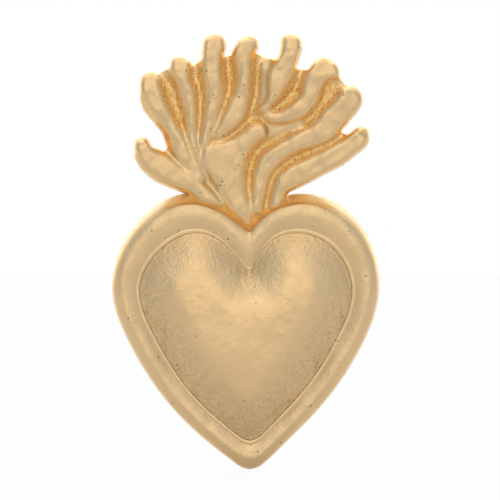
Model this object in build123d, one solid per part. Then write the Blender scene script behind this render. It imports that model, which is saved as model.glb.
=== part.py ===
from build123d import *
import math
import os

# Milagro charm: a hollow, double-sided flaming heart that is strung through its middle.
# Frame: millimetres, +Z up, +X to the right, the front faces -Y. Y = 0 is the parting plane of the two
# sides, and depth is measured from it towards the front. The origin is on the axis of the stringing hole,
# at the hole's lower mouth in the tip of the heart.

# Heart, outline at the parting plane, heights above the lowest point of the tip
left_half_width = 12.70
right_half_width = 11.97
lobe_height = 25.40
widest_height = 16.96
cleft_height = 23.20

# Heart, depths from the parting plane
crest_depth = 2.35
ledge_depth = 1.55
flange_thickness = 0.30
dome_edge_depth = 1.96
wire_depth = 2.10
dome_depth = 4.00
dome_wall = 0.70
dome_centre_height = 15.00

# Distance from the outline in to the groove that runs round the dome, at each part of the outline
side_inset = 2.20
lobe_inset = 3.22
tip_inset = 2.30
cleft_inset = 4.85

wire_width = 0.38
wire_bevel_share = 0.25
dome_edge_gap = 0.06
ledge_width = 0.80
seat_clearance = 0.03

# Flame crown, heights above the lowest point of the heart
crown_width = 21.30
crown_height = 19.00
crown_root_height = 21.00
web_depth = 1.10
tongue_depth = 2.15
tongue_half_width = 0.86
tongue_draft = 0.08
tang_width = 5.40
tang_foot_width = 1.90
tang_foot_height = 20.70

# Stringing hole and the tube that lines it through the hollow heart
bore_radius = 0.50
tube_wall = 0.15
tube_clearance = 0.02
bore_lean = 1.23
mouth_height = 0.20
bore_length = 39.00
tube_top_height = 25.60

# How far a cut runs past the face that it leaves, and how far four corners may be out of one plane
cut_overrun = 1.00
flatness = 0.000001

# Points of the heart's outline. Beside the cleft: share of the half width, share of the climb from the
# cleft to the top of the lobe. Shoulder: share of the half width, share of the climb from the widest level
# to the top of the lobe. Flank: share of the half width, share of the climb from the tip to the widest level.
right_cleft_shares = ((0.10, 0.50), (0.24, 0.86), (0.44, 1.0))
left_cleft_shares = ((0.12, 0.42), (0.25, 0.78), (0.46, 1.0))
right_shoulder_shares = ((0.775, 0.79),)
left_shoulder_shares = ((0.775, 0.75),)
right_flank_shares = ((0.857, 0.663), (0.549, 0.342), (0.249, 0.125), (0.118, 0.038), (0.055, 0.009))
left_flank_shares = ((0.862, 0.668), (0.572, 0.342), (0.266, 0.125), (0.114, 0.038), (0.052, 0.009))

# Profile of the rolled border: share of the crest's depth, then the shares of the inset at the sides and
# tip and at the lobes and cleft. The outer one climbs from the parting plane to the crest, and the inner
# one climbs from the groove to the crest.
outer_profile_shares = (
    (0.0, 0.0, 0.0), (0.45, 0.03, 0.11), (0.78, 0.14, 0.28), (0.96, 0.35, 0.43), (1.0, 0.50, 0.57),
)
inner_profile_shares = ((0.85, 0.97, 0.975), (0.95, 0.78, 0.82), (1.0, 0.58, 0.64))

# Rings of the dome and of the hollow behind it, as shares of its edge, and the power that makes the swell
# flat on top
dome_ring_shares = (1.0, 0.90, 0.76, 0.58, 0.38, 0.18)
hollow_ring_shares = (1.0, 0.70, 0.36)
dome_swell_power = 2.2

# The dome, its wire and their seat run straight between corners of the groove's outline: how many runs on
# each half of the heart, and how much closer together the corners come towards the tip
groove_runs = 24
tip_crowding_share = 0.65

# Flame tongues from root to tip, low left to low right. Each station is a share of the crown's width from
# the heart's axis, a share of the crown's height above its root, and a share of the tongue's half width.
tongue_shares = {
    "low_left": (
        (-0.146, 0.185, 0.80), (-0.224, 0.263, 1.04), (-0.297, 0.317, 1.27),
        (-0.362, 0.355, 1.38), (-0.419, 0.404, 1.27), (-0.471, 0.486, 0.70),
    ),
    "outer_left": (
        (-0.163, 0.219, 0.70), (-0.232, 0.355, 0.80), (-0.302, 0.482, 1.04),
        (-0.380, 0.617, 1.15), (-0.427, 0.724, 1.15), (-0.427, 0.800, 1.04),
    ),
    "middle_left": (
        (-0.155, 0.219, 0.60), (-0.206, 0.404, 0.80), (-0.241, 0.559, 0.92),
        (-0.276, 0.685, 1.15), (-0.302, 0.802, 1.20), (-0.297, 0.880, 1.04),
    ),
    "tall_left": (
        (-0.120, 0.219, 0.60), (-0.194, 0.404, 0.75), (-0.185, 0.550, 0.80),
        (-0.163, 0.695, 0.98), (-0.163, 0.850, 1.15), (-0.155, 0.990, 0.98),
    ),
    "centre": (
        (-0.181, 0.482, 0.60), (-0.124, 0.550, 0.86), (-0.059, 0.656, 0.98),
        (-0.038, 0.773, 0.92), (-0.033, 0.889, 0.94), (-0.012, 0.975, 0.90),
    ),
    "low_ledge": (
        (-0.025, 0.588, 0.58), (0.036, 0.666, 0.70), (0.058, 0.763, 0.70), (0.071, 0.850, 0.70),
    ),
    "tall_right": (
        (-0.025, 0.598, 0.46), (0.062, 0.666, 0.70), (0.118, 0.753, 1.04),
        (0.144, 0.850, 1.09), (0.170, 0.928, 1.09), (0.174, 0.985, 0.85),
    ),
    "middle_right": (
        (0.100, 0.612, 0.55), (0.148, 0.627, 0.70), (0.226, 0.681, 0.92),
        (0.265, 0.763, 1.09), (0.309, 0.831, 1.27), (0.322, 0.880, 0.92),
    ),
    "outer_right": (
        (0.032, 0.132, 0.60), (0.036, 0.268, 0.80), (0.062, 0.384, 0.92), (0.157, 0.457, 1.04),
        (0.278, 0.535, 1.15), (0.382, 0.637, 1.32), (0.434, 0.735, 1.00),
    ),
    "low_right": (
        (0.097, 0.171, 0.60), (0.127, 0.249, 0.80), (0.218, 0.341, 1.04),
        (0.339, 0.418, 1.15), (0.434, 0.477, 1.09), (0.485, 0.520, 0.75),
    ),
    "broad_stem": (
        (-0.012, 0.103, 0.50), (-0.051, 0.185, 0.92), (-0.094, 0.283, 1.73),
        (-0.103, 0.380, 2.20), (-0.100, 0.470, 1.60),
    ),
    "broad_tail": (
        (-0.125, 0.400, 1.50), (-0.059, 0.462, 1.85), (0.027, 0.520, 1.38),
        (0.131, 0.559, 0.80), (0.226, 0.588, 0.46),
    ),
}

# How high a tongue's crest stands at its root, along its middle and at its bevelled tip, as shares of the
# tongue's depth. Its bevels start below the crest by a share of its half width and leave a flat of another.
full_crest_shares = (0.74, 1.0, 0.62)
low_crest_shares = (0.60, 0.72, 0.52)
bevel_drop_share = 0.55
crest_flat_share = 0.42
sections_per_span = 2

# Web that carries the tongues, anticlockwise from the left end of its root, in shares of the crown's
# width and height. Its corners lie under the tongues except at the valleys between them.
web_shares = (
    (-0.200, 0.100), (-0.258, 0.215), (-0.336, 0.297), (-0.440, 0.394), (-0.449, 0.482), (-0.432, 0.506),
    (-0.367, 0.506), (-0.388, 0.598), (-0.423, 0.695), (-0.410, 0.780), (-0.388, 0.812), (-0.354, 0.831),
    (-0.310, 0.821), (-0.267, 0.831), (-0.241, 0.860), (-0.194, 0.889), (-0.146, 0.870), (-0.098, 0.899),
    (-0.068, 0.889), (-0.016, 0.880), (0.040, 0.870), (0.071, 0.850), (0.123, 0.880), (0.166, 0.870),
    (0.209, 0.831), (0.300, 0.826), (0.335, 0.812), (0.382, 0.787), (0.417, 0.749), (0.408, 0.695),
    (0.413, 0.598), (0.395, 0.569), (0.391, 0.525), (0.443, 0.491), (0.348, 0.404), (0.218, 0.317),
    (0.157, 0.240), (0.150, 0.100),
)

floor_height = -mouth_height
bore_axis = Vector(-math.sin(math.radians(bore_lean)), 0, math.cos(math.radians(bore_lean)))
bore_plane = Plane(origin=(0, 0, 0), x_dir=(0, 1, 0), z_dir=bore_axis)


def front_plane(depth):
    """Plane at a depth from the parting plane, with heights from the heart's lowest point."""
    return Plane(origin=(0, -depth, floor_height), x_dir=(1, 0, 0), z_dir=(0, -1, 0))


def half_outline(half_width, lobe, widest, cleft, tip, cleft_shares, shoulder_shares, flank_shares):
    """Half of a heart, from its cleft round the lobe to a rounded tip."""
    points = [(0, cleft)]
    points += [(half_width * across, cleft + (lobe - cleft) * up) for across, up in cleft_shares]
    points += [(half_width * across, widest + (lobe - widest) * up) for across, up in shoulder_shares]
    points += [(half_width, widest)]
    points += [(half_width * across, tip + (widest - tip) * up) for across, up in flank_shares]
    points += [(0, tip)]
    return Spline(*points)


def heart_halves(left, right, lobe, widest, cleft, tip):
    """Right and left half of a heart with its own half widths and heights."""
    right_half = half_outline(
        right, lobe, widest, cleft, tip, right_cleft_shares, right_shoulder_shares, right_flank_shares
    )
    left_half = half_outline(
        -left, lobe, widest, cleft, tip, left_cleft_shares, left_shoulder_shares, left_flank_shares
    )
    return right_half, left_half


def inset_heart(depth, side_share, lobe_share):
    """Heart at a depth from the parting plane, moved in from the outline by shares of the groove's insets."""
    halves = heart_halves(
        left_half_width - side_inset * side_share,
        right_half_width - side_inset * side_share,
        lobe_height - lobe_inset * lobe_share,
        widest_height,
        cleft_height - cleft_inset * lobe_share,
        tip_inset * side_share,
    )
    return front_plane(depth) * make_face(halves)


def block(face, from_depth, to_depth):
    """Solid of one outline between two depths, the outline being given at the first."""
    return loft([face, Pos(0, from_depth - to_depth, 0) * face], ruled=True)


def groove_corners(depth, margin, share=1.0):
    """Corners round the groove's outline, moved in by a margin and shrunk about the middle of the dome."""
    left = left_half_width - side_inset - margin
    right = right_half_width - side_inset - margin
    lobe = lobe_height - lobe_inset - margin
    cleft = cleft_height - cleft_inset - margin
    heights = [
        dome_centre_height + (height - dome_centre_height) * share
        for height in (lobe, widest_height, cleft, tip_inset + margin)
    ]
    places = [1 - (1 - step / groove_runs) ** (1 / tip_crowding_share) for step in range(groove_runs + 1)]
    right_half, left_half = heart_halves(left * share, right * share, *heights)
    corners = [right_half @ place for place in places]
    corners += [left_half @ place for place in reversed(places[1:-1])]
    plane = front_plane(depth)
    return [plane.from_local_coords(corner) for corner in corners]


def faceted_solid(rings):
    """Solid of flat facets between rings of matching corners, closed by its first and last ring. A facet
    whose four corners don't lie in one plane is split in two."""
    faces = [Face(Wire.make_polygon(rings[0])), Face(Wire.make_polygon(rings[-1]))]
    for lower, upper in zip(rings, rings[1:]):
        for corner in range(len(lower)):
            sides = [lower[corner - 1], lower[corner], upper[corner], upper[corner - 1]]
            normal = (sides[1] - sides[0]).cross(sides[3] - sides[0]).normalized()
            if abs(normal.dot(sides[2] - sides[0])) < flatness:
                faces.append(Face(Wire.make_polygon(sides)))
            else:
                faces.append(Face(Wire.make_polygon(sides[:3])))
                faces.append(Face(Wire.make_polygon([sides[0], sides[2], sides[3]])))
    return Part(Solid(Shell(faces)).wrapped)


def groove_prism(margin, from_depth, to_depth):
    """Straight-sided solid of the groove's outline, moved in by a margin, between two depths."""
    return faceted_solid([groove_corners(from_depth, margin), groove_corners(to_depth, margin)])


def bore_cylinder(radius, from_height, to_height):
    """Cylinder on the axis of the stringing hole, between two heights along it."""
    return bore_plane.offset(from_height) * extrude(Circle(radius), amount=to_height - from_height)


def border_hull():
    """Rolled border from the parting plane to its crest, with nothing taken out."""
    rings = [inset_heart(crest_depth * rise, side, lobe) for rise, side, lobe in outer_profile_shares]
    return loft(rings, ruled=True)


def border_bowl():
    """Space inside the crest, down the inner slope of the border to the groove."""
    rings = [inset_heart(crest_depth * rise, side, lobe) for rise, side, lobe in inner_profile_shares]
    return loft(rings, ruled=True) + block(rings[-1], crest_depth, crest_depth + cut_overrun)


def tube_seat():
    """Seat of the tube, from below the tip of the heart up into the crown's tang."""
    return bore_cylinder(bore_radius + tube_wall + tube_clearance, -cut_overrun, tube_top_height)


def web_points():
    return [(crown_width * across, crown_root_height + crown_height * up) for across, up in web_shares]


def crown_plate(margin=0):
    """Web and tang of one side of the crown, grown by a margin where the heart's pocket takes it."""
    web = make_face(Polyline(*web_points(), close=True))
    tang_points = [
        (-tang_foot_width / 2, tang_foot_height),
        (tang_foot_width / 2, tang_foot_height),
        (tang_width / 2, cleft_height),
        (-tang_width / 2, cleft_height),
    ]
    outline = web + make_face(Polyline(*tang_points, close=True))
    if margin > 0:
        outline = offset(outline, amount=margin, kind=Kind.INTERSECTION)
    return block(front_plane(-cut_overrun) * outline, -cut_overrun, web_depth + margin)


def tongue_section(plane, half_width, crest):
    """Section of a tongue: drafted sides from behind the parting plane, bevels and a flat crest."""
    shoulder = half_width - tongue_draft
    bevel_foot = crest - bevel_drop_share * half_width
    flat = crest_flat_share * half_width
    points = [
        (-cut_overrun, half_width), (bevel_foot, shoulder), (crest, flat),
        (crest, -flat), (bevel_foot, -shoulder), (-cut_overrun, -half_width),
    ]
    return plane * make_face(Polyline(*points, close=True))


def tongue(stations, crest_shares):
    """Tapered flame tongue, its sections square to a curved centre line."""
    root_share, middle_share, tip_share = crest_shares
    shares = [root_share] + [middle_share] * (len(stations) - 2) + [tip_share]
    centres = [
        Vector(crown_width * across, 0, floor_height + crown_root_height + crown_height * up)
        for across, up, width in stations
    ]
    centre_line = Spline(*centres)
    knots = [
        (centre_line.param_at_point(centre), tongue_half_width * width, tongue_depth * share)
        for centre, share, (across, up, width) in zip(centres, shares, stations)
    ]
    places = [knots[0]]
    for start, end in zip(knots, knots[1:]):
        for step in range(1, sections_per_span + 1):
            part_way = step / sections_per_span
            places.append(tuple(low + (high - low) * part_way for low, high in zip(start, end)))
    sections = []
    for place, half_width, crest in places:
        plane = Plane(origin=centre_line @ place, x_dir=(0, -1, 0), z_dir=centre_line % place)
        sections.append(tongue_section(plane, half_width, crest))
    return loft(sections, ruled=True)


def front_heart_frame():
    """Border with its rebate for the dome, a pocket for the crown's tang and the seat of the tube."""
    past_crest = crest_depth + cut_overrun
    frame = border_hull()
    frame -= groove_prism(ledge_width, -cut_overrun, past_crest)
    frame -= groove_prism(0, ledge_depth, past_crest)
    frame -= border_bowl()
    frame -= crown_plate(seat_clearance)
    return frame - tube_seat()


def swell_depth(share, edge_depth, top_depth):
    """Depth of a ring of the swell: it rises ever more gently towards the top."""
    return edge_depth + (top_depth - edge_depth) * (1 - share**dome_swell_power)


def front_heart_dome():
    """Puffed shell with a thin flange round it."""
    flange_top = ledge_depth + flange_thickness
    margin = seat_clearance + wire_width + dome_edge_gap
    hollow_margin = ledge_width + seat_clearance
    rings = [
        groove_corners(ledge_depth, seat_clearance),
        groove_corners(flange_top, seat_clearance),
        groove_corners(flange_top, margin),
    ]
    for share in dome_ring_shares:
        rings.append(groove_corners(swell_depth(share, dome_edge_depth, dome_depth), margin, share))
    hollow_rings = []
    for share in hollow_ring_shares:
        depth = swell_depth(share, ledge_depth, dome_depth - dome_wall)
        hollow_rings.append(groove_corners(depth, hollow_margin, share))
    return faceted_solid(rings) - faceted_solid(hollow_rings)


def front_bezel_wire():
    """Fine wire on the dome's flange, bevelled along the top of its outer side."""
    foot_depth = ledge_depth + flange_thickness
    bevel = wire_width * wire_bevel_share
    rings = [
        groove_corners(foot_depth, seat_clearance),
        groove_corners(wire_depth - bevel, seat_clearance),
        groove_corners(wire_depth, seat_clearance + bevel),
    ]
    inside = groove_prism(seat_clearance + wire_width, foot_depth - cut_overrun, wire_depth + cut_overrun)
    return faceted_solid(rings) - inside


def front_flame_crown():
    """Half of the crown: web and tang in one with its tapered tongues, drilled for the string."""
    crown = crown_plate()
    hull = border_hull()
    for name, stations in tongue_shares.items():
        crest_shares = low_crest_shares if name == "low_ledge" else full_crest_shares
        crown += tongue(stations, crest_shares) - hull
    behind = Box(2 * crown_width, 2 * cut_overrun, 2 * crown_height)
    crown -= Pos(0, cut_overrun, crown_root_height + crown_height / 2) * behind
    crown -= bore_cylinder(bore_radius, tube_top_height, bore_length + cut_overrun)
    return crown - tube_seat()


def stringing_tube():
    """Thin tube through the hollow heart, from the hole's lower mouth up into the crown's tang."""
    tube = bore_cylinder(bore_radius + tube_wall, 0, tube_top_height)
    return tube - bore_cylinder(bore_radius, -cut_overrun, tube_top_height + cut_overrun)


def to_back(piece):
    return mirror(piece, about=Plane.XZ)


def main():
    sides = {
        "heart_frame": front_heart_frame(),
        "heart_dome": front_heart_dome(),
        "bezel_wire": front_bezel_wire(),
        "flame_crown": front_flame_crown(),
    }
    nodes = {"stringing_tube": stringing_tube()}
    for name, piece in sides.items():
        nodes["front_" + name] = piece
        nodes["back_" + name] = to_back(piece)
    os.makedirs("parts", exist_ok=True)
    for name, piece in nodes.items():
        export_step(piece, f"parts/{name}.step")
        print(name, "solids", len(piece.solids()), "volume", round(piece.volume, 2))


main()
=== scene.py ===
import math

import bpy
import numpy as np
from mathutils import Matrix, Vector


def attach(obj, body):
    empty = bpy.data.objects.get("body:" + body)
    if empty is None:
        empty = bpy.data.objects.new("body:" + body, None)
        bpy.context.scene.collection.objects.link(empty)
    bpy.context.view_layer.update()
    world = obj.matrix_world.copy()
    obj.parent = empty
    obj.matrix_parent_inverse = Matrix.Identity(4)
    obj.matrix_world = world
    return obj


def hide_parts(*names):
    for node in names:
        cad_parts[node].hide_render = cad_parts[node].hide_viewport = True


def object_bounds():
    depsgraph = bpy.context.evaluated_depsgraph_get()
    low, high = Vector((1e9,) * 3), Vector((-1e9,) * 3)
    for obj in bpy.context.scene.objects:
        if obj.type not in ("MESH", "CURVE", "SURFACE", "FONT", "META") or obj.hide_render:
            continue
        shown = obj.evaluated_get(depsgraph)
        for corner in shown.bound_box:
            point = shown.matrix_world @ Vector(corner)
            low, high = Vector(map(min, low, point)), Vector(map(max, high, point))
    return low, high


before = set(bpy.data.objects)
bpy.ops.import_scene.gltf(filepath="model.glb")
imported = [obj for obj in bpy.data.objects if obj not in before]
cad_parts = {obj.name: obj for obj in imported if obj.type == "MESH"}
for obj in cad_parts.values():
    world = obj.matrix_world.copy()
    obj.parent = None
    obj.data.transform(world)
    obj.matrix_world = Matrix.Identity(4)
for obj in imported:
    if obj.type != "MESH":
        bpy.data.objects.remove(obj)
cad_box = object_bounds()

# Milagro charm: a hollow, double-sided flaming heart in warm pale gold. Sizes are in millimetres until a
# piece's mesh is made. A depth is measured from the parting plane (y = 0) towards the front (-y), and a
# height from the lowest point of the heart.

MILLIMETRE = 0.001

# Heart, as in the solids
left_half_width = 12.70
right_half_width = 11.97
lobe_height = 25.40
widest_height = 16.96
cleft_height = 23.20
crest_depth = 2.35
ledge_depth = 1.55
ledge_width = 0.80
flange_thickness = 0.30
seat_clearance = 0.03
wire_depth = 2.10
wire_width = 0.38
dome_depth = 4.00
dome_wall = 0.70
dome_centre_height = 15.00
side_inset = 2.20
lobe_inset = 3.22
tip_inset = 2.30
cleft_inset = 4.85

# Heart, closer to the photograph than the solids: the wire's round back, the dome's edge, its banked flank
# and the swell that the flank carries, and the lip between the border's roll and the wire
wire_rise = 0.032
dome_edge_gap = 0.02
dome_edge_depth = 2.03
flank_width = 3.90
flank_power = 1.70
flank_share = 0.74
swell_width = 4.50
lip_shares = (0.878, 0.86)

# Rings and points of the heart's meshes. A step is how close beside an edge a ring is laid. The dome's rings
# crowd towards its edge, and the hollow behind it takes only some of them.
heart_points = 360
wall_rings = 9
roll_rings = 30
wire_rings = 9
dome_rings = 63
dome_crowding = 1.25
hollow_every = 4
edge_step = 0.02
seam_step = 0.03
sharp_angle = math.radians(50)

# Smoothing, as passes of a small blur. At the cleft it fades over a few points of the outline.
cleft_passes = 14
cleft_fade = 14
flank_passes = 16
puff_passes = 6

# Grids on which the dome's swell is worked out, from coarse to fine, with the passes that each one takes
swell_steps = (0.4, 0.2, 0.1)
swell_passes = 700
swell_margin = 0.4

# Flame crown: the depth of the tongues is as in the solids, and the rest is finer
tongue_depth = 2.15
groove_depth = 1.15
tongue_spread = 0.12
side_share = 0.74
side_slope = 0.44
shoulder_share = 0.76
tip_bulge = 0.20
tip_fall = 0.34
tip_power = 1.7
knuckle_depth = 0.09
knuckle_width = 0.20
knuckle_least_bevel = 0.85
rim_rounding = 0.50
rim_power = 2.2
rim_slope = 2.0
reach_passes = 3
relief_passes = 2

# Grid on which the crown is worked out
crown_step = 0.13
crown_across = (-11.2, 11.4)
crown_up = (19.8, 40.4)
crown_margin = 0.35
tongue_points = 120
steepest_slope = 4.0

# Stringing hole and the tube that lines it, as in the solids, and the rod that cuts the tube's seat
bore_radius = 0.50
tube_wall = 0.15
tube_clearance = 0.02
bore_lean = math.radians(1.23)
mouth_height = 0.20
tube_top_height = 25.60
cutter_foot = -3.0
cutter_sides = 48

# Unevenness, as sums of waves: the height and the grain of each. A wave is made of a few ripples, each with
# its own turn in the plane of the heart, lean out of it and phase.
ripples = ((0.3, 1.1, 0.4), (1.2, 2.3, 2.1), (2.2, 0.6, 4.0), (2.9, 1.9, 1.3), (0.8, 2.9, 5.2))
ripple_lean_share = 0.6
ripple_pitch_spread = 0.31
border_waves = ((0.065, 4.6), (0.028, 1.9))
dome_waves = ((0.05, 6.5),)
fold_waves = ((0.110, 1.9), (0.050, 1.1))
tongue_waves = ((0.09, 2.9), (0.055, 1.3))
groove_waves = ((0.07, 0.85), (0.05, 0.62))

# Masks, as the two values between which each rises from 0 to 1. On the border: shares of the crest's depth
# for its unevenness, then depths for its painted highlight. On the dome: depths for the swell and for the
# flank's foot and head, heights for the folds and for the painted shade, which darkens the flank towards the
# bottom.
border_uneven = (0.55, 0.95)
border_highlight_depths = (0.80 * crest_depth, 0.80 * crest_depth - 0.45)
dome_uneven = (2.0, 3.0)
flank_foot = (1.90, 2.15)
flank_head = (dome_depth - 0.12, dome_depth - 0.72)
flank_folds = (19.2, 13.2)
flank_shade_heights = (20.5, 11.5)

# On the crown: shares of a tongue's height for rough grooves, for grooves with painted shade and a rough
# cast, and for shoulders with a painted highlight, how deep in a groove a shoulder's highlight ends, and
# distances inside the outline for the grooves and for the painted highlight along it
rough_sides = (side_share + 0.12, side_share - 0.08)
groove_sides = (0.90, side_share - 0.05)
shoulder_sides = (0.985, 0.935)
shoulder_grooves = (0.625, 0.0)
groove_inward = (0.25, 0.85)
edge_inward = (0.28, 0.0)

# How strong some masks are at most: painted shade on the dome's flank, rough cast on the flank and the
# border, and painted highlight on the crown's shoulders
most_flank_shade = 0.72
flank_cast = 0.70
border_cast = 0.30
shoulder_highlight_strength = 0.42

# The photograph's frame: pixels across, the pixel of the heart's axis, and the row of its lowest point
photo_pixels = 500
axis_pixel = 249.7
lowest_pixel = 469.0
pixel_size = 0.0922

# Points of the heart's outline. Beside the cleft: share of the half width, share of the climb from the
# cleft to the top of the lobe. Shoulder: share of the half width, share of the climb from the widest level
# to the top of the lobe. Flank: share of the half width, share of the climb from the tip to the widest level.
right_cleft_shares = ((0.10, 0.50), (0.24, 0.86), (0.44, 1.0))
left_cleft_shares = ((0.12, 0.42), (0.25, 0.78), (0.46, 1.0))
right_shoulder_shares = ((0.775, 0.79),)
left_shoulder_shares = ((0.775, 0.75),)
right_flank_shares = ((0.857, 0.663), (0.549, 0.342), (0.249, 0.125), (0.118, 0.038), (0.055, 0.009))
left_flank_shares = ((0.862, 0.668), (0.572, 0.342), (0.266, 0.125), (0.114, 0.038), (0.052, 0.009))

# Rolled border from the parting plane over its crest to the groove: share of the crest's depth, share of
# the inset at the sides and tip, share of the inset at the lobes and cleft
wall_shares = (
    (0.0, 0.0, 0.0), (0.18, 0.0, 0.02), (0.45, 0.03, 0.10), (0.66, 0.08, 0.20), (0.78, 0.14, 0.28),
)
roll_shares = (
    (0.78, 0.14, 0.28), (0.885, 0.24, 0.33), (0.965, 0.36, 0.44), (1.0, 0.50, 0.57),
    (0.99, 0.64, 0.70), (0.96, 0.78, 0.82), (0.923, 0.89, 0.905), (0.888, 0.975, 0.98),
)

# Tongues of the flame, traced on the photograph as pixels (x, y): from one corner of the tip down one
# edge, round the root and up the other edge to the tip's other corner. Then the crest as a share of the
# tongue's depth, the width of its rounded shoulder in millimetres and the length of the bevel at its tip.
tongue_pixels = {
    "low_left": ((
        (136, 142), (136.5, 152), (140, 163), (149, 174), (162, 182), (178, 188.5), (190, 193), (204, 203),
        (222, 206), (214, 192), (202, 182), (192, 174), (181, 166), (171, 158.5), (161, 154), (151, 147),
        (146, 139),
    ), 0.97, 0.62, 0.7),
    "outer_left": ((
        (145, 75), (141, 84), (141.5, 95), (147.5, 107), (157, 120), (165, 131), (170, 142), (174, 155),
        (184, 168), (200, 184), (206, 180), (197, 163), (190, 149), (184, 136), (176, 122), (169, 110),
        (164, 99), (161, 89), (158, 76),
    ), 0.93, 0.60, 1.0),
    "middle_left": ((
        (173, 60), (171, 67), (173, 77), (178, 89), (182.5, 102), (185.5, 114), (187, 127), (188, 140),
        (193, 155), (202, 170), (208, 166), (202, 152), (198, 138), (197, 127), (196.8, 114), (196, 101),
        (194, 90), (190, 78), (190, 63),
    ), 0.95, 0.58, 1.1),
    "tall_left": ((
        (206, 39), (203, 48), (202.5, 60), (203.5, 72), (205, 85), (206, 98), (205, 111), (203, 122),
        (201, 133), (200, 146), (206, 152), (211, 140), (216, 127), (219, 114), (221.5, 102), (222.3, 91),
        (221.8, 79), (220.8, 67), (222.5, 56), (225, 46), (223, 38),
    ), 1.0, 0.62, 1.2),
    "centre": ((
        (241, 40), (235, 48), (233, 56), (236, 66), (237.5, 78), (235.5, 90), (231, 101), (225, 111),
        (220, 121), (214, 133), (217, 141), (227, 135), (237, 127), (245, 116), (248.5, 103), (250, 91),
        (250.6, 78), (251, 66), (253, 54), (257, 49), (256, 40),
    ), 0.98, 0.56, 1.0),
    "low_ledge": ((
        (260, 62), (260.5, 72), (259.7, 84), (259, 97), (257, 110), (262, 114), (268, 105), (270, 94),
        (271, 82), (272, 72), (272, 64),
    ), 0.76, 0.45, 0.5),
    "tall_right": ((
        (283, 38), (281.5, 48), (279, 57), (273, 66), (268, 74), (267, 84), (267.5, 93), (264, 103),
        (258, 112), (264, 114), (272, 106), (280, 97), (286, 88), (291, 79), (295, 68), (298.5, 57),
        (301, 48), (298, 38),
    ), 1.0, 0.62, 1.3),
    "middle_right": ((
        (317, 61), (309, 70), (303.5, 78), (302.5, 87), (299, 97), (290, 106), (278, 112), (264, 117),
        (268, 122.5), (281, 124), (295, 121.5), (306, 115), (314.5, 106), (319, 97), (322, 87), (327, 80),
        (338, 77), (337, 67), (330, 61),
    ), 0.90, 0.60, 0.9),
    "outer_right": ((
        (346, 88), (334, 101), (324, 111), (317, 121.5), (306, 129.5), (295, 134.5), (279.5, 143),
        (266.5, 151), (259, 160), (255, 172), (252.5, 185), (252, 198), (252, 214), (260, 214), (263, 203),
        (265.5, 191), (268.5, 179), (275.5, 168), (286.5, 158), (302.5, 150), (318.5, 145), (334, 136),
        (344, 126), (352, 117), (360, 106), (361, 95), (356, 89),
    ), 0.94, 0.58, 0.9),
    "low_right": ((
        (357, 129), (346, 138), (331.5, 146.5), (317, 154), (302.5, 161), (288.5, 168), (279, 175.5),
        (274, 185), (271.5, 196), (270, 209), (280, 207), (284, 196), (295, 188.5), (310.5, 181),
        (326.5, 172.5), (342.5, 164), (357, 153), (367, 143), (366.5, 130),
    ), 0.93, 0.60, 0.8),
    "broad": ((
        (267, 127), (258, 124.5), (248, 127.5), (237, 136), (222, 141.5), (206, 146), (200.5, 152),
        (200, 160), (204, 169), (210.5, 179), (217, 190), (222.5, 200), (230, 210), (240, 219), (248, 226),
        (252, 214), (249, 202), (245.5, 189), (243.5, 176), (244.5, 163), (251, 150), (259, 141), (268, 134),
    ), 1.0, 0.85, 0.3),
    "broad_tail": ((
        (262, 128), (268, 138), (281, 134), (293, 131), (303, 128), (302, 122), (288, 125), (272, 125.5),
    ), 0.70, 0.40, 0.2),
    "root_strand": ((
        (168, 154), (180, 164), (192, 175), (203, 187), (214, 203), (222, 203), (214, 187), (205, 174),
        (196, 163), (186, 154),
    ), 0.70, 0.40, 0.2),
    "inner_strand": ((
        (193, 143), (194, 154), (199, 167), (208, 181), (217, 195), (220, 190), (212, 176), (205, 163),
        (201, 151), (200, 141),
    ), 0.78, 0.36, 0.2),
}

# Web under the tongues, traced the same way: it shows in the valleys and as a thin second edge outside
# the low tongues
web_pixels = (
    (228, 243), (209, 228), (190, 206), (189, 195), (172, 189), (154, 181), (141, 170), (134.5, 158),
    (135, 146), (140, 140), (152, 146), (166, 152), (166.5, 146), (162, 133), (152, 121), (143, 110),
    (139.5, 98), (140, 84), (147, 75), (158, 74.5), (166.5, 69), (178, 68), (188, 70), (195, 64.5),
    (205, 56), (216, 60), (227, 56), (236, 56), (246, 58), (257, 53), (262, 57), (275, 59), (282, 54),
    (290, 56), (297, 69), (312, 70), (326, 72), (338, 76), (347, 87), (350, 98), (348, 112), (341, 125),
    (340, 132), (352, 137), (350, 150), (331, 164), (302, 178), (287, 189), (286, 206), (272, 228),
)

# Numbers and outlines


def ramp(value, start, end):
    """0 up to the start, 1 from the end on, and straight between. The end may lie under the start."""
    return np.clip((value - start) / (end - start), 0, 1)


def blurred(values, axis=0):
    """Closed row of values, each drawn half way to the mean of its neighbours."""
    return (np.roll(values, 1, axis) + 2 * values + np.roll(values, -1, axis)) / 4


def softened(field, passes):
    """Field over a grid, with its corners rounded."""
    for _ in range(passes):
        field = blurred(blurred(field, 0), 1)
    return field


def waves(points, heights_and_grains):
    """Smooth uneven field at places, as a sum of waves."""
    total = 0.0
    for height, grain in heights_and_grains:
        for turn, lean, phase in ripples:
            direction = np.array([math.cos(turn), ripple_lean_share * math.sin(lean), math.sin(turn)])
            pitch = 2 * math.pi / grain * (1 + ripple_pitch_spread * math.cos(lean))
            total = total + height / len(ripples) * np.sin(points @ direction * pitch + phase)
    return total


def from_pixels(pixels):
    """Places across and up, in millimetres, of points traced on the photograph."""
    x, y = np.array(pixels, float).T
    return np.stack([(x - axis_pixel) * pixel_size, (lowest_pixel - y) * pixel_size], axis=1)


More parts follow.
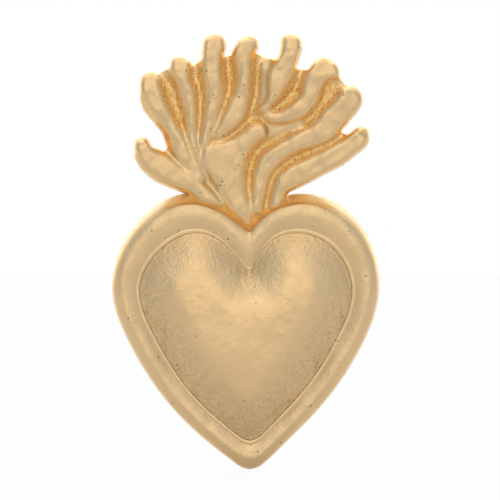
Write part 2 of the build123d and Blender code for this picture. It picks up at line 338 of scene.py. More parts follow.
def spline(points, count):
    """Natural cubic curve through points, sampled evenly along its chords."""
    points = np.asarray(points, float)
    chords = np.linalg.norm(np.diff(points, axis=0), axis=1)
    knots = np.concatenate([[0], np.cumsum(chords)])
    last = len(points) - 1
    system = np.eye(last + 1)
    bends = np.zeros_like(points)
    for i in range(1, last):
        system[i, i - 1 : i + 2] = chords[i - 1], 2 * (chords[i - 1] + chords[i]), chords[i]
        bends[i] = 6 * ((points[i + 1] - points[i]) / chords[i] - (points[i] - points[i - 1]) / chords[i - 1])
    second = np.linalg.solve(system, bends)
    places = np.linspace(0, knots[-1], count)
    span = np.clip(np.searchsorted(knots, places, side="right") - 1, 0, last - 1)
    length = chords[span][:, None]
    before = (places - knots[span])[:, None]
    after = length - before
    start, end = second[span], second[span + 1]
    curve = (start * after**3 + end * before**3) / (6 * length)
    curve += (points[span] / length - start * length / 6) * after
    curve += (points[span + 1] / length - end * length / 6) * before
    return curve


def inside_outline(outline, across, up):
    """True where the points of a grid lie inside a closed outline."""
    inside = np.zeros(across.shape, bool)
    for (x0, z0), (x1, z1) in zip(outline, np.roll(outline, -1, axis=0)):
        if z0 == z1:
            continue
        crosses = (z0 > up) != (z1 > up)
        inside ^= crosses & (across < (x1 - x0) * (up - z0) / (z1 - z0) + x0)
    return inside


def outline_distance(outline, across, up):
    """Distance from each point of a grid to a closed outline, positive inside."""
    nearest = np.full(across.shape, np.inf)
    for (x0, z0), (x1, z1) in zip(outline, np.roll(outline, -1, axis=0)):
        dx, dz = x1 - x0, z1 - z0
        length = dx * dx + dz * dz
        if length == 0:
            continue
        along = np.clip(((across - x0) * dx + (up - z0) * dz) / length, 0, 1)
        nearest = np.minimum(nearest, (across - x0 - along * dx) ** 2 + (up - z0 - along * dz) ** 2)
    return np.where(inside_outline(outline, across, up), 1, -1) * np.sqrt(nearest)


def front_point(across, depth, height):
    """Place in the frame of a point given across, by its depth and by its height over the lowest point."""
    return np.stack(np.broadcast_arrays(across, -depth, height - mouth_height), axis=-1)


# Skins over rings that each go once round the heart


def ring(outline, depth):
    return front_point(outline[:, 0], depth, outline[:, 1])


def bands(count, pairs):
    """Faces between pairs of rings, each ring with a number of points."""
    faces = []
    for here, there in pairs:
        for i in range(count):
            j = (i + 1) % count
            faces.append((here * count + i, here * count + j, there * count + j, there * count + i))
    return faces


def skin(rings):
    """Points and faces of a closed skin over rings, joined last to first."""
    total = len(rings)
    return np.concatenate(rings), bands(len(rings[0]), [(r, (r + 1) % total) for r in range(total)])


def capped_skin(rings):
    """Points and faces of a closed skin over rings, whose first and last close on their middle points."""
    count = len(rings[0])
    middles = np.array([rings[0].mean(axis=0), rings[-1].mean(axis=0)])
    points = np.concatenate(rings + [middles])
    first, last = len(points) - 2, len(points) - 1
    end = (len(rings) - 1) * count
    faces = bands(count, [(r, r + 1) for r in range(len(rings) - 1)])
    for i in range(count):
        j = (i + 1) % count
        faces.append((first, j, i))
        faces.append((last, end + i, end + j))
    return points, faces


# Heart: outlines, border, wire and dome


def heart(left, right, lobe, widest, cleft, tip):
    """Outline of a heart, anticlockwise from the cleft as seen from the front: left half, then right half."""
    halves = []
    for half_width, cleft_shares, shoulder_shares, flank_shares in (
        (-left, left_cleft_shares, left_shoulder_shares, left_flank_shares),
        (right, right_cleft_shares, right_shoulder_shares, right_flank_shares),
    ):
        points = [(0, cleft)]
        points += [(half_width * across, cleft + (lobe - cleft) * up) for across, up in cleft_shares]
        points += [(half_width * across, widest + (lobe - widest) * up) for across, up in shoulder_shares]
        points += [(half_width, widest)]
        points += [(half_width * across, tip + (widest - tip) * up) for across, up in flank_shares]
        points += [(0, tip)]
        halves.append(spline(points, heart_points // 2 + 1))
    left_half, right_half = halves
    return np.concatenate([left_half[:-1], right_half[:0:-1]])


def round_cleft(outline, passes):
    """The sharp corner of an outline at the cleft becomes a small curve."""
    count = len(outline)
    from_cleft = np.minimum(np.arange(count), count - np.arange(count))
    share = np.exp(-((from_cleft / cleft_fade) ** 2))[:, None]
    for _ in range(passes):
        outline = outline + (blurred(outline) - outline) * share
    return outline


def inset_heart(sides, lobes, margin=0.0):
    """Heart drawn in by shares of the way to the groove, at the sides and tip and at the lobes and cleft,
    and then by a margin."""
    outline = heart(
        left_half_width - side_inset * sides - margin,
        right_half_width - side_inset * sides - margin,
        lobe_height - lobe_inset * lobes - margin,
        widest_height,
        cleft_height - cleft_inset * lobes - margin,
        tip_inset * sides + margin,
    )
    return round_cleft(outline, int(cleft_passes * min(1.0, sides)))


def groove_heart(margin=0.0):
    """Line of the groove round the dome, drawn in by a margin."""
    return inset_heart(1.0, 1.0, margin)


def border_skin():
    """Wall and roll of the border, lip, rebate for the dome, opening and parting face."""
    profile = np.concatenate([spline(wall_shares, wall_rings)[:-1], spline(roll_shares, roll_rings)])
    rings = [ring(inset_heart(sides, lobes), crest_depth * share) for share, sides, lobes in profile]
    rings.insert(1, ring(inset_heart(0.0, 0.0), edge_step))
    rings += [ring(groove_heart(edge_step), crest_depth * share) for share in lip_shares]
    rings.append(ring(groove_heart(), ledge_depth + edge_step))
    rings.append(ring(groove_heart(), ledge_depth))
    rings.append(ring(groove_heart(ledge_width - edge_step), ledge_depth))
    rings.append(ring(groove_heart(ledge_width), ledge_depth - edge_step))
    rings.append(ring(groove_heart(ledge_width), 0.0))
    rings.append(ring(inset_heart(0.0, 0.0, seam_step), 0.0))
    points, faces = skin(rings[::-1])
    points[:, 1] -= waves(points, border_waves) * ramp(-points[:, 1] / crest_depth, *border_uneven)
    return points, faces


def wire_skin():
    """Bezel wire with a low round back, from the flange up."""
    low = ledge_depth + flange_thickness
    rings = [ring(groove_heart(seat_clearance), low)]
    for across in np.linspace(0, 1, wire_rings):
        depth = wire_depth - wire_rise * (2 * across - 1) ** 2
        rings.append(ring(groove_heart(seat_clearance + wire_width * across), depth))
    rings.append(ring(groove_heart(seat_clearance + wire_width), low))
    return skin(rings)


def blown_height(outline):
    """Height over an outline, 0 at its edge to 1 at its top, as a function of place: a blown swell on banked
    flanks. The swell is worked out on a coarse grid first, then on finer ones."""
    low = outline.min(axis=0) - swell_margin
    high = outline.max(axis=0) + swell_margin
    field = np.zeros((1, 1))
    for step in swell_steps:
        across = np.arange(low[0], high[0], step)
        up = np.arange(low[1], high[1], step)
        grid_x, grid_z = np.meshgrid(across, up, indexing="ij")
        inside = inside_outline(outline, grid_x, grid_z)[1:-1, 1:-1]
        rows = np.minimum(np.arange(len(across)) // 2, field.shape[0] - 1)
        columns = np.minimum(np.arange(len(up)) // 2, field.shape[1] - 1)
        field = field[np.ix_(rows, columns)]
        for _ in range(swell_passes):
            around = field[:-2, 1:-1] + field[2:, 1:-1] + field[1:-1, :-2] + field[1:-1, 2:]
            blown = (around + step * step) / (4 + (step / swell_width) ** 2)
            field[1:-1, 1:-1] = np.where(inside, blown, 0)
    inward = ramp(outline_distance(outline, grid_x, grid_z), 0, flank_width)
    bank = softened(1 - (1 - inward) ** flank_power, flank_passes)
    field = flank_share * bank + (1 - flank_share) * field / field.max()
    field /= field.max()

    def height_at(points):
        x = (points[:, 0] - across[0]) / step
        z = (points[:, 1] - up[0]) / step
        i, j = x.astype(int), z.astype(int)
        a, b = x - i, z - j
        return (
            field[i, j] * (1 - a) * (1 - b) + field[i + 1, j] * a * (1 - b)
            + field[i, j + 1] * (1 - a) * b + field[i + 1, j + 1] * a * b
        )

    return height_at


def dome_skin():
    """Hollow behind the dome, flange, then the puffed front, from the inner middle to the outer one. Also how
    far each point lies on the flank."""
    middle = np.array([0.0, dome_centre_height])
    edge = groove_heart(wire_width + dome_edge_gap)
    inner_edge = groove_heart(ledge_width + dome_edge_gap)
    flange = groove_heart(seat_clearance)
    flange_top = ledge_depth + flange_thickness
    height_at = blown_height(edge)
    front = [ring(edge, flange_top)]
    hollow = []
    for index in range(dome_rings):
        share = 1 - (index / dome_rings) ** dome_crowding
        outline = middle + (edge - middle) * share
        puff = height_at(outline)
        for _ in range(puff_passes):
            puff = blurred(puff)
        puff = np.clip(puff, 0, 1) * (index > 0)
        front.append(ring(outline, dome_edge_depth + (dome_depth - dome_edge_depth) * puff))
        if index % hollow_every == 0:
            inner = middle + (inner_edge - middle) * share
            hollow.append(ring(inner, ledge_depth + (dome_depth - dome_wall - ledge_depth) * puff))
    rim_depths = (ledge_depth, ledge_depth + edge_step, flange_top - edge_step, flange_top)
    points, faces = capped_skin(hollow[::-1] + [ring(flange, depth) for depth in rim_depths] + front)
    depth = -points[:, 1]
    flank = ramp(depth, *flank_foot) * ramp(depth, *flank_head)
    swell = waves(points, dome_waves) * ramp(depth, *dome_uneven)
    folds = waves(points, fold_waves) * flank * ramp(points[:, 2] + mouth_height, *flank_folds)
    points[:, 1] -= swell + folds
    return points, faces, flank


# Flame crown


def tongue(grid_x, grid_z, pixels, crest, shoulder, bevel):
    """One tongue over a grid of places: its depth, the share of its height there, and the distance inside
    its outline. Its sides slope up to a round shoulder and its tip falls away in a bevel. Where the bevel
    is long, a crease crosses the tongue at its start, like a knuckle."""
    points = from_pixels(pixels)
    first, last = points[0], points[-1]
    tip_middle = (first + last) / 2
    inward = (points[1] + points[-2]) / 2 - tip_middle
    inward /= np.linalg.norm(inward)
    tip = tip_middle - inward * tip_bulge * np.linalg.norm(first - last)
    outline = spline(np.concatenate([[tip], points, [tip]]), tongue_points)
    distance = outline_distance(outline, grid_x, grid_z) + tongue_spread
    pillow = 1 - (1 - ramp(distance, 0, shoulder_share * shoulder)) ** 2
    side = np.where(distance > 0, side_share + (1 - side_share) * pillow, side_share + distance * side_slope)
    from_tip = (grid_x - tip_middle[0]) * inward[0] + (grid_z - tip_middle[1]) * inward[1]
    falls = 1 - tip_fall * ramp(from_tip, bevel, -tongue_spread) ** tip_power
    depth = tongue_depth * crest * falls * side
    if bevel >= knuckle_least_bevel:
        depth -= knuckle_depth * np.exp(-(((from_tip - bevel) / knuckle_width) ** 2))
    return depth, side, distance


def crown_relief(grid_x, grid_z):
    """Depth of the crown's front over a grid of places: tongues that meet in grooves, over a web, with a
    round edge all along the outline. Also how far each place lies in a groove, and a mask for painted
    highlights on the shoulders and along the outline."""
    reach = outline_distance(from_pixels(web_pixels), grid_x, grid_z)
    relief = np.full(grid_x.shape, groove_depth)
    highest_side = np.zeros(grid_x.shape)
    for pixels, crest, shoulder, bevel in tongue_pixels.values():
        depth, side, distance = tongue(grid_x, grid_z, pixels, crest, shoulder, bevel)
        reach = np.maximum(reach, distance)
        relief = np.maximum(relief, depth)
        highest_side = np.maximum(highest_side, side)
    places = np.stack([grid_x, 0 * grid_x, grid_z], axis=-1)
    relief += waves(places, tongue_waves) + waves(places, groove_waves) * ramp(highest_side, *rough_sides)
    reach = softened(reach, reach_passes)
    rounding = (1 - (1 - ramp(reach, 0, rim_rounding)) ** rim_power) ** 0.5
    wall = np.where(reach > 0, tongue_depth * rounding, reach * rim_slope)
    relief = np.minimum(softened(relief, relief_passes), wall)
    groove = ramp(highest_side, *groove_sides) * ramp(reach, *groove_inward)
    # Painted highlights: warm on the shoulders beside the grooves, pale along the outline
    shoulder_highlights = shoulder_highlight_strength * ramp(highest_side, *shoulder_sides) * ramp(groove, *shoulder_grooves)
    edge = np.maximum(ramp(reach, *edge_inward), softened(shoulder_highlights, 1))
    return relief, softened(groove, 1), edge


def cell_corners(array, offset, shape):
    """For each cell of a grid, the value at one of its eight corners."""
    return array[tuple(slice(o, o + n) for o, n in zip(offset, shape))]


def net_points(values, places):
    """One point for each cell that the zero level crosses, and the number of each cell's point."""
    shape = tuple(n - 1 for n in values.shape)
    total = np.zeros(shape + (3,), np.float32)
    count = np.zeros(shape, np.float32)
    for start in np.ndindex(2, 2, 2):
        for axis in range(3):
            if start[axis]:
                continue
            end = tuple(o + (a == axis) for a, o in enumerate(start))
            low, high = cell_corners(values, start, shape), cell_corners(values, end, shape)
            crossed = (low < 0) != (high < 0)
            share = np.where(crossed, low / np.where(crossed, low - high, 1), 0)
            for a in range(3):
                total[..., a] += np.where(crossed, start[a] + (share if a == axis else 0), 0)
            count += crossed
    used = count > 0
    number = np.full(shape, -1, np.int64)
    number[used] = np.arange(used.sum())
    cells = np.argwhere(used) + total[used] / count[used][:, None]
    points = [np.interp(cells[:, a], np.arange(len(places[a])), places[a]) for a in range(3)]
    return np.stack(points, axis=1), number


def surface_net(values, places):
    """Closed mesh of the zero level of a sampled field, with one face to each crossed edge of the grid."""
    inside = values < 0
    points, number = net_points(values, places)
    faces = []
    for axis in range(3):
        first, second = [a for a in range(3) if a != axis]
        low = [slice(1, n - 1) for n in values.shape]
        high = list(low)
        low[axis] = slice(0, values.shape[axis] - 1)
        high[axis] = slice(1, values.shape[axis])
        changed = inside[tuple(low)] != inside[tuple(high)]
        leaves = inside[tuple(low)][changed]
        base = np.argwhere(changed)
        quad = []
        for a, b in ((0, 0), (1, 0), (1, 1), (0, 1)):
            cell = base.copy()
            cell[:, first] += a
            cell[:, second] += b
            quad.append(number[tuple(cell.T)])
        quad = np.stack(quad, axis=1)
        flip = leaves if axis == 1 else ~leaves
        quad[flip] = quad[flip][:, ::-1]
        faces.append(quad)
    return points, np.concatenate(faces)


def crown_skin():
    """Front half of the crown, drilled by the stringing hole. Also how far each point lies in a groove, and
    how much painted highlight it takes on the shoulders and along the outline."""
    across = np.arange(*crown_across, crown_step)
    up = np.arange(*crown_up, crown_step)
    depth = np.arange(-crown_margin, tongue_depth + crown_margin, crown_step)
    grid_x, grid_z = np.meshgrid(across, up, indexing="ij")
    relief, groove, edge = crown_relief(grid_x, grid_z)
    slope_x, slope_z = np.gradient(relief, crown_step)
    steepness = np.sqrt(1 + np.minimum(slope_x**2 + slope_z**2, steepest_slope**2))
    layers = depth[None, :, None]
    body = (layers - relief[:, None, :]) / steepness[:, None, :]
    from_axis = grid_x * math.cos(bore_lean) + (grid_z - mouth_height) * math.sin(bore_lean)
    bore = bore_radius - np.sqrt(from_axis[:, None, :] ** 2 + layers**2)
    field = np.maximum(np.maximum(body, -layers), bore)
    points, faces = surface_net(field, (across, depth, up))
    i = np.rint((points[:, 0] - across[0]) / crown_step).astype(int)
    j = np.rint((points[:, 2] - up[0]) / crown_step).astype(int)
    return front_point(*points.T), faces[:, ::-1], groove[i, j], edge[i, j]


# Pieces


def new_piece(name, node, material, back, points, faces, hollow=0.0, cast=0.0, highlight=0.0):
    """Mesh piece in metres that stands for a CAD node. A back piece mirrors the front one. Each point says
    how much painted shade it takes, in a groove or low on the dome's flank, how much of the rough casting it
    keeps, and how much painted highlight it takes, on an outer edge or a shoulder."""
    points = points * MILLIMETRE
    faces = [tuple(int(corner) for corner in face) for face in faces]
    if back:
        points[:, 1] *= -1
        faces = [face[::-1] for face in faces]
    mesh = bpy.data.meshes.new(name)
    mesh.from_pydata(points.tolist(), [], faces)
    mesh.validate()
    mesh.update()
    mesh.polygons.foreach_set("use_smooth", np.ones(len(mesh.polygons), bool))
    for label, values in (("hollow", hollow), ("cast", cast), ("highlight", highlight)):
        layer = mesh.attributes.new(label, "FLOAT", "POINT")
        layer.data.foreach_set("value", np.full(len(points), values, np.float32))
    mesh.set_sharp_from_angle(angle=sharp_angle)
    mesh.materials.append(material)
    piece = bpy.data.objects.new(name, mesh)
    bpy.context.scene.collection.objects.link(piece)
    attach(piece, "root")
    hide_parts(node)
    return piece


def tube_cutter():
    """Solid rod on the axis of the stringing hole, with room for the tube, from under the tip to its top."""
    radius = bore_radius + tube_wall + tube_clearance
    axis = Vector((-math.sin(bore_lean), 0, math.cos(bore_lean)))
    across = Vector((math.cos(bore_lean), 0, math.sin(bore_lean)))
    outward = Vector((0, -1, 0))
    points = []
    for height in (cutter_foot, tube_top_height):
        for i in range(cutter_sides):
            turn = 2 * math.pi * i / cutter_sides
            spoke = across * math.cos(turn) + outward * math.sin(turn)
            points.append((axis * height + spoke * radius) * MILLIMETRE)
    faces = bands(cutter_sides, [(0, 1)])
    faces.append(tuple(reversed(range(cutter_sides))))
    faces.append(tuple(range(cutter_sides, 2 * cutter_sides)))
    mesh = bpy.data.meshes.new("tube_cutter")
    mesh.from_pydata([tuple(point) for point in points], [], faces)
    cutter = bpy.data.objects.new("tube_cutter", mesh)
    bpy.context.scene.collection.objects.link(cutter)
    return cutter


def cut_tube_seat(piece, cutter):
    """The seat of the tube is cut out of a piece's mesh."""
    cut = piece.modifiers.new("tube seat", "BOOLEAN")
    cut.object = cutter
    cut.solver = "EXACT"
    graph = bpy.context.evaluated_depsgraph_get()
    mesh = bpy.data.meshes.new_from_object(piece.evaluated_get(graph))
    piece.modifiers.clear()
    piece.data = mesh


# Shader nodes


class ShaderTree:
    """Nodes of a material or of the world. A socket is fed by a number, a colour or another node's output."""

    def __init__(self, owner):
        owner.use_nodes = True
        self.nodes = owner.node_tree.nodes
        self.links = owner.node_tree.links
        self.nodes.clear()

    def node(self, kind, feeds, **settings):
        """New node with its settings made and its sockets fed, each under its name or number."""
        made = self.nodes.new("ShaderNode" + kind)
        for name, value in settings.items():
            setattr(made, name, value)
        for socket, value in feeds.items():
            if isinstance(value, bpy.types.NodeSocket):
                self.links.new(value, made.inputs[socket])
            else:
                made.inputs[socket].default_value = value
        return made

    def math(self, operation, *values):
        return self.node("Math", dict(enumerate(values)), operation=operation).outputs[0]

    def times(self, value, factor):
        return self.math("MULTIPLY", value, factor)

    def total(self, first, *others):
        for other in others:
            first = self.math("ADD", first, other)
        return first

    def noise(self, place, grain):
        scale, detail, rough = grain
        feeds = {"Vector": place, "Scale": scale, "Detail": detail, "Roughness": rough}
        return self.node("TexNoise", feeds).outputs["Fac"]

    def spread(self, value, low, high, to_low=0.0, to_high=1.0, **settings):
        """A value between low and high, spread over another range and held at its ends."""
        feeds = {"Value": value, "From Min": low, "From Max": high, "To Min": to_low, "To Max": to_high}
        return self.node("MapRange", feeds, **settings).outputs["Result"]

    def smooth_step(self, value, low, high):
        return self.spread(value, low, high, interpolation_type="SMOOTHSTEP")

    def mix(self, share, first, second):
        """Mix of two colours, by the sockets that a mix node keeps for colours."""
        return self.node("Mix", {0: share, 6: first, 7: second}, data_type="RGBA").outputs[2]

    def blend(self, share, first, second):
        """Mix of two shaders."""
        return self.node("MixShader", {0: share, 1: first, 2: second}).outputs[0]


def seen_directly(tree, path):
    """1 for camera and transmission rays, 0 for the others."""
    return tree.math("MAXIMUM", path.outputs["Is Camera Ray"], path.outputs["Is Transmission Ray"])


# Gold


def srgb(red, green, blue):
    """Colour as it is seen, 0 to 255, as the linear values that a shader takes."""
    values = [v / 255 for v in (red, green, blue)]
    return tuple(v / 12.92 if v <= 0.04045 else ((v + 0.055) / 1.055) ** 2.4 for v in values) + (1.0,)


def shaded(colour, shares):
    return tuple(channel * share for channel, share in zip(colour, shares)) + (1.0,)


# Painted highlight: pale gold along the crown's outline and on the border's outer wall, where the metal
# catches the light
rim_highlight_gold = srgb(254, 230, 188)
pale_gold = srgb(229, 196, 148)
# Painted shade and painted bounced light: deep orange to pale gold, mottled, laid into the crown's grooves
groove_shade_golds = (srgb(228, 178, 104), srgb(252, 218, 150))
dome_gold = srgb(229, 195, 146)
flame_tone = srgb(223, 190, 142)
# Painted highlight: warm gold on the crown's rounded shoulders
shoulder_highlight_gold = srgb(247, 204, 142)
# Painted shade: duller, darker gold on the dome's lower flank
flank_shade_golds = (srgb(200, 174, 132), srgb(224, 194, 148))
tube_tone = srgb(214, 176, 118)
pit_brown = (0.16, 0.085, 0.03, 1.0)
warm_shares = (0.93, 0.95, 0.93)
speckle_shares = (0.90, 0.90, 0.90)
speckle_strength = 0.35
pit_strength = 0.85

# Grains of the metal: waves to a metre, detail and roughness of the noise
tone_grain = (260, 4.0, 0.60)
swell_grain = (330, 2.0, 0.50)
patch_grain = (640, 2.0, 0.50)
sheen_grain = (700, 4.0, 0.65)
lump_grain = (900, 2.0, 0.50)
stroke_grain = (1500, 3.0, 0.60)
cast_grain = (3000, 3.0, 0.70)
fine_grain = (3600, 3.0, 0.60)
mottle_grain = (3800, 3.0, 0.70)
speckle_grain = (5200, 2.0, 0.50)
ragged_grain = (9000, 2.0, 0.50)

# Part of each noise's range over which its effect goes from nothing to all
tone_range = (0.35, 0.70)
sheen_range = (0.30, 0.75)
stroke_range = (0.35, 0.75)
mottle_range = (0.40, 0.62)
speckle_range = (0.35, 0.75)
ragged_range = (0.30, 0.70)

# Pits: cells to a metre, the cell distances between which a pit fades out, how ragged its edge is, and the
# part of the patch noise that lets pits through, which starts lower where there are more of them
pit_cells = 2100
pit_fade = (0.11, 0.22)
pit_raggedness = 0.08
patch_start = 0.67
patch_lowering = 0.08
patch_width = 0.04

# Painted highlights: parts of the highlight mask that turn from the metal's own tone to the warm shoulder
# highlight, then to the pale rim highlight
to_shoulder_highlight = (0.0, 0.5)
to_rim_highlight = (0.5, 1.0)

# Heights of the metal's grains, in micrometres
MICROMETRE = 0.000001
swell_height = 100.0
lump_height = 34.0
fine_height = 2.2
stroke_height = 3.0
pit_depth = 22.0

# Polishing strokes: how the noise is stretched and turned to make them
stroke_stretch = (1.0, 1.0, 0.06)
stroke_turn = (0.0, 0.55, 0.3)

# Roughness: how far it goes under and over a metal's own, and what strokes, edges with painted highlights and
# casting add
sheen_under = 0.05
sheen_over = 0.10
stroke_roughness = 0.05
edge_roughness = 0.06
cast_roughness = 0.04


def pit_mask(tree, place, pits):
    """Scattered pits: small cells with ragged edges, kept only where a broad noise allows them."""
    cells = tree.node("TexVoronoi", {"Vector": place, "Scale": pit_cells, "Randomness": 1.0}, feature="F1")
    ragged = tree.spread(tree.noise(place, ragged_grain), *ragged_range, -pit_raggedness, pit_raggedness)
    dots = tree.spread(tree.total(cells.outputs["Distance"], ragged), *pit_fade, 1.0, 0.0)
    start = patch_start - patch_lowering * pits
    patches = tree.spread(tree.noise(place, patch_grain), start, start + patch_width)
    return tree.times(dots, patches)


def metal_colour(tree, place, colour, shade_golds, hollow, edge, pit):
    """Uneven tone with speckles, mottled painted shade in the hollows, and painted highlights: warm on the
    shoulders, pale at the rim.
    """
    uneven = tree.spread(tree.noise(place, tone_grain), *tone_range)
    warm = tree.mix(uneven, colour, shaded(colour, warm_shares))
    speckles = tree.spread(tree.noise(place, speckle_grain), *speckle_range)
    speckled = tree.mix(tree.times(speckles, speckle_strength), warm, shaded(colour, speckle_shares))
    mottles = tree.spread(tree.noise(place, mottle_grain), *mottle_range)
    # Painted shade: deeper, mottled tones where the mesh marks a hollow
    cast = tree.mix(hollow, speckled, tree.mix(mottles, *shade_golds))
    # Painted highlights: warm on the shoulders, then pale at the rim
    highlighted = tree.mix(tree.spread(edge, *to_shoulder_highlight), cast, shoulder_highlight_gold)
    highlighted = tree.mix(tree.spread(edge, *to_rim_highlight), highlighted, rim_highlight_gold)
    return tree.mix(tree.times(pit, pit_strength), highlighted, pit_brown)


def metal_roughness(tree, place, roughness, strokes, streaks, edge, casting):
    """Uneven sheen, streaked by polishing, duller on the edges that carry a painted highlight and on the
    rough casting.
    """
    sheen = tree.noise(place, sheen_grain)
    sheen = tree.spread(sheen, *sheen_range, roughness - sheen_under, roughness + sheen_over)
    streaky = tree.spread(streaks, *stroke_range, -stroke_roughness * strokes, stroke_roughness * strokes)
    return tree.total(sheen, streaky, tree.times(edge, edge_roughness), tree.times(casting, cast_roughness))


def metal_normal(tree, place, grain, strokes, cast_height, streaks, casting, pit):
    """Soft hammered unevenness, grain, cast texture in the hollows, polishing strokes and pits."""
    swell = tree.times(tree.noise(place, swell_grain), swell_height)
    lumps = tree.times(tree.noise(place, lump_grain), lump_height)
    fine = tree.times(tree.noise(place, fine_grain), fine_height * grain)
    cast = tree.times(tree.times(tree.noise(place, cast_grain), casting), cast_height)
    lines = tree.times(streaks, stroke_height * strokes)
    height = tree.total(swell, lumps, fine, cast, lines, tree.times(pit, -pit_depth))
    return tree.node("Bump", {"Strength": 1.0, "Distance": MICROMETRE, "Height": height}).outputs["Normal"]


def gold(name, colour, shade_golds, roughness, grain, pits, strokes, cast_height=150.0):
    """Gold plate on a casting. The mesh says how much painted shade each place takes, where it keeps the
    rough casting and how much painted highlight its edges and shoulders take. Roughness and grain are the
    metal's own, pits and strokes say how many there are, and the cast height is in micrometres."""
    material = bpy.data.materials.new(name)
    tree = ShaderTree(material)
    place = tree.node("TexCoord", {}).outputs["Object"]
    hollow, casting, edge = [
        tree.node("Attribute", {}, attribute_name=label).outputs["Fac"] for label in ("hollow", "cast", "highlight")
    ]
    pit = pit_mask(tree, place, pits)
    drawn = tree.node("Mapping", {"Vector": place, "Scale": stroke_stretch, "Rotation": stroke_turn})
    streaks = tree.noise(drawn.outputs["Vector"], stroke_grain)
    metal = tree.node("BsdfPrincipled", {
        "Metallic": 1.0,
        "Base Color": metal_colour(tree, place, colour, shade_golds, hollow, edge, pit),
        "Roughness": metal_roughness(tree, place, roughness, strokes, streaks, edge, casting),
        "Normal": metal_normal(tree, place, grain, strokes, cast_height, streaks, casting, pit),
    })
    tree.node("OutputMaterial", {"Surface": metal.outputs["BSDF"]})
    return material


border_gold = gold("border_gold", pale_gold, groove_shade_golds, roughness=0.30, grain=1.0, pits=1.1, strokes=0.6)
puffed_gold = gold("puffed_gold", dome_gold, flank_shade_golds, roughness=0.25, grain=0.8, pits=0.25, strokes=1.0)
wire_gold = gold("wire_gold", pale_gold, groove_shade_golds, roughness=0.30, grain=1.0, pits=0.3, strokes=0.4)
tube_gold = gold("tube_gold", tube_tone, groove_shade_golds, roughness=0.34, grain=1.2, pits=0.4, strokes=1.0)
flame_gold = gold(
    "flame_gold", flame_tone, groove_shade_golds, roughness=0.28, grain=1.0, pits=1.0, strokes=0.4, cast_height=170.0,
)

# Making the pieces

seat_cutter = tube_cutter()
border_points, border_faces = border_skin()
# Painted highlight on the border's outer wall, from the parting plane to short of the roll's crest
border_highlight = ramp(-border_points[:, 1], *border_highlight_depths)
wire_points, wire_faces = wire_skin()
dome_points, dome_faces, dome_flank = dome_skin()
# Painted shade on the dome's flank, darker towards the bottom
dome_flank_shade = dome_flank * np.minimum(ramp(dome_points[:, 2] + mouth_height, *flank_shade_heights), most_flank_shade)
crown_points, crown_faces, crown_groove, crown_highlight = crown_skin()

for side, back in (("front", False), ("back", True)):
    # Border: painted highlight on its outer wall
    border = new_piece(
        side + "_border", side + "_heart_frame", border_gold, back, border_points, border_faces,
        cast=border_cast, highlight=border_highlight,
    )
    cut_tube_seat(border, seat_cutter)
    new_piece(side + "_bezel", side + "_bezel_wire", wire_gold, back, wire_points, wire_faces)
    # Dome: painted shade low on its flank
    new_piece(
        side + "_dome", side + "_heart_dome", puffed_gold, back, dome_points, dome_faces,
        hollow=dome_flank_shade, cast=flank_cast * dome_flank,
    )
    # Flames: painted shade in the grooves, painted highlights on the shoulders and along the outline
    new_piece(
        side + "_flames", side + "_flame_crown", flame_gold, back, crown_points, crown_faces,
        hollow=crown_groove, cast=crown_groove, highlight=crown_highlight,
    )
bpy.data.objects.remove(seat_cutter)

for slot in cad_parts["stringing_tube"].material_slots:
    slot.material = tube_gold

# Stage, light and camera, in metres and watts

floor_grey = (0.70, 0.70, 0.70, 1.0)
floor_white_share = 0.95
floor_mirror_share = 0.30
floor_reach = 3.0
floor_gap = 0.0002
white_light = (1.0, 1.0, 1.0, 1.0)
front_light = (1.22, 1.18, 1.13, 1.0)
side_light = (0.61, 0.66, 0.73, 1.0)
back_light = (1.28, 1.26, 1.22, 1.0)
middle_band = (-0.54, -0.12)
raised_band = (-0.60, 0.15)
back_band = (0.0, 0.7)
lamp_size = 0.30
lamps = (
    ("key", (-0.14, -0.28, 0.26), 0.045),
    ("fill", (0.24, -0.26, 0.14), 0.030),
    ("top", (0.0, 0.17, 0.30), 0.150),
)
lamp_target = (0.0, 0.0, 0.020)
camera_distance = 0.36
camera_nearest = 0.01
camera_farthest = 20
sensor_width = 36


def floor_material():
    """Matte pale floor. Camera and transmission rays see it as white with the object's faint shadow, and
    mirror rays as white in part, so that the metal keeps dark places."""
    material = bpy.data.materials.new("pale_floor")
    tree = ShaderTree(material)
    path = tree.node("LightPath", {})
    mirrored = tree.times(path.outputs["Is Glossy Ray"], floor_mirror_share)
    share = tree.math("MULTIPLY_ADD", seen_directly(tree, path), floor_white_share, mirrored)
    matte = tree.node("BsdfDiffuse", {"Color": floor_grey}).outputs[0]
    white = tree.node("Emission", {"Color": white_light}).outputs[0]
    tree.node("OutputMaterial", {"Surface": tree.blend(share, matte, white)})
    return material


def make_floor():
    level = cad_box[0][2] - floor_gap
    corners = [(x * floor_reach, y * floor_reach, level) for x, y in ((-1, -1), (1, -1), (1, 1), (-1, 1))]
    mesh = bpy.data.meshes.new("floor")
    mesh.from_pydata(corners, [], [(0, 1, 2, 3)])
    mesh.materials.append(floor_material())
    floor = bpy.data.objects.new("floor", mesh)
    bpy.context.scene.collection.objects.link(floor)


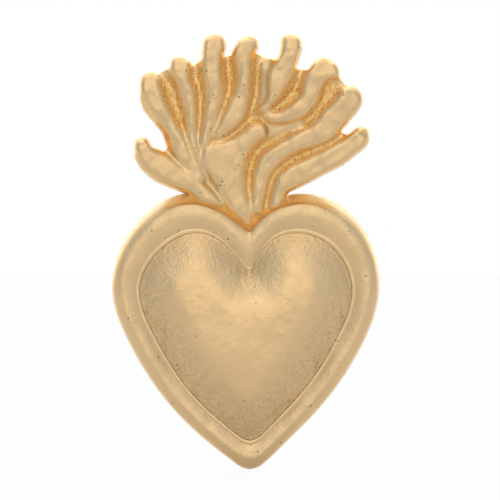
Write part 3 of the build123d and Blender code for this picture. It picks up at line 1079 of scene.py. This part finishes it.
def make_studio():
    """World that camera and transmission rays see as white. The metal sees a soft studio: bright in front and
    overhead, calmer and cooler at the sides and below, and bright behind."""
    world = bpy.data.worlds.new("studio")
    tree = ShaderTree(world)
    direction = tree.node("SeparateXYZ", {0: tree.node("TexCoord", {}).outputs["Generated"]})
    inward = tree.times(tree.math("ABSOLUTE", direction.outputs["X"]), -1.0)
    middle = tree.smooth_step(inward, *middle_band)
    raised = tree.smooth_step(direction.outputs["Z"], *raised_band)
    behind = tree.smooth_step(direction.outputs["Y"], *back_band)
    colour = tree.mix(tree.times(middle, raised), side_light, front_light)
    colour = tree.mix(behind, colour, back_light)
    studio = tree.node("Background", {"Color": colour, "Strength": 1.0}).outputs[0]
    white = tree.node("Background", {"Color": white_light, "Strength": 1.0}).outputs[0]
    seen = seen_directly(tree, tree.node("LightPath", {}))
    tree.node("OutputWorld", {"Surface": tree.blend(seen, studio, white)})
    bpy.context.scene.world = world


def aim(thing, target):
    thing.rotation_euler = (Vector(target) - thing.location).to_track_quat("-Z", "Y").to_euler()


def soft_lamp(name, place, power):
    light = bpy.data.lights.new(name, "AREA")
    light.shape = "DISK"
    light.size = lamp_size
    light.energy = power
    lamp = bpy.data.objects.new(name, light)
    lamp.location = place
    bpy.context.scene.collection.objects.link(lamp)
    aim(lamp, lamp_target)


def make_camera():
    """Camera square in front of the middle of the photograph's frame, which it takes in exactly."""
    across = (photo_pixels / 2 - axis_pixel) * pixel_size * MILLIMETRE
    height = ((lowest_pixel - photo_pixels / 2) * pixel_size - mouth_height) * MILLIMETRE
    lens = bpy.data.cameras.new("camera")
    lens.sensor_width = sensor_width
    lens.lens = sensor_width * camera_distance / (photo_pixels * pixel_size * MILLIMETRE)
    lens.clip_start = camera_nearest
    lens.clip_end = camera_farthest
    camera = bpy.data.objects.new("camera", lens)
    camera.location = (across, -camera_distance, height)
    bpy.context.scene.collection.objects.link(camera)
    aim(camera, (across, 0, height))
    bpy.context.scene.camera = camera


make_floor()
make_studio()
for name, place, power in lamps:
    soft_lamp(name, place, power)
make_camera()
bpy.context.scene.view_settings.view_transform = "Standard"
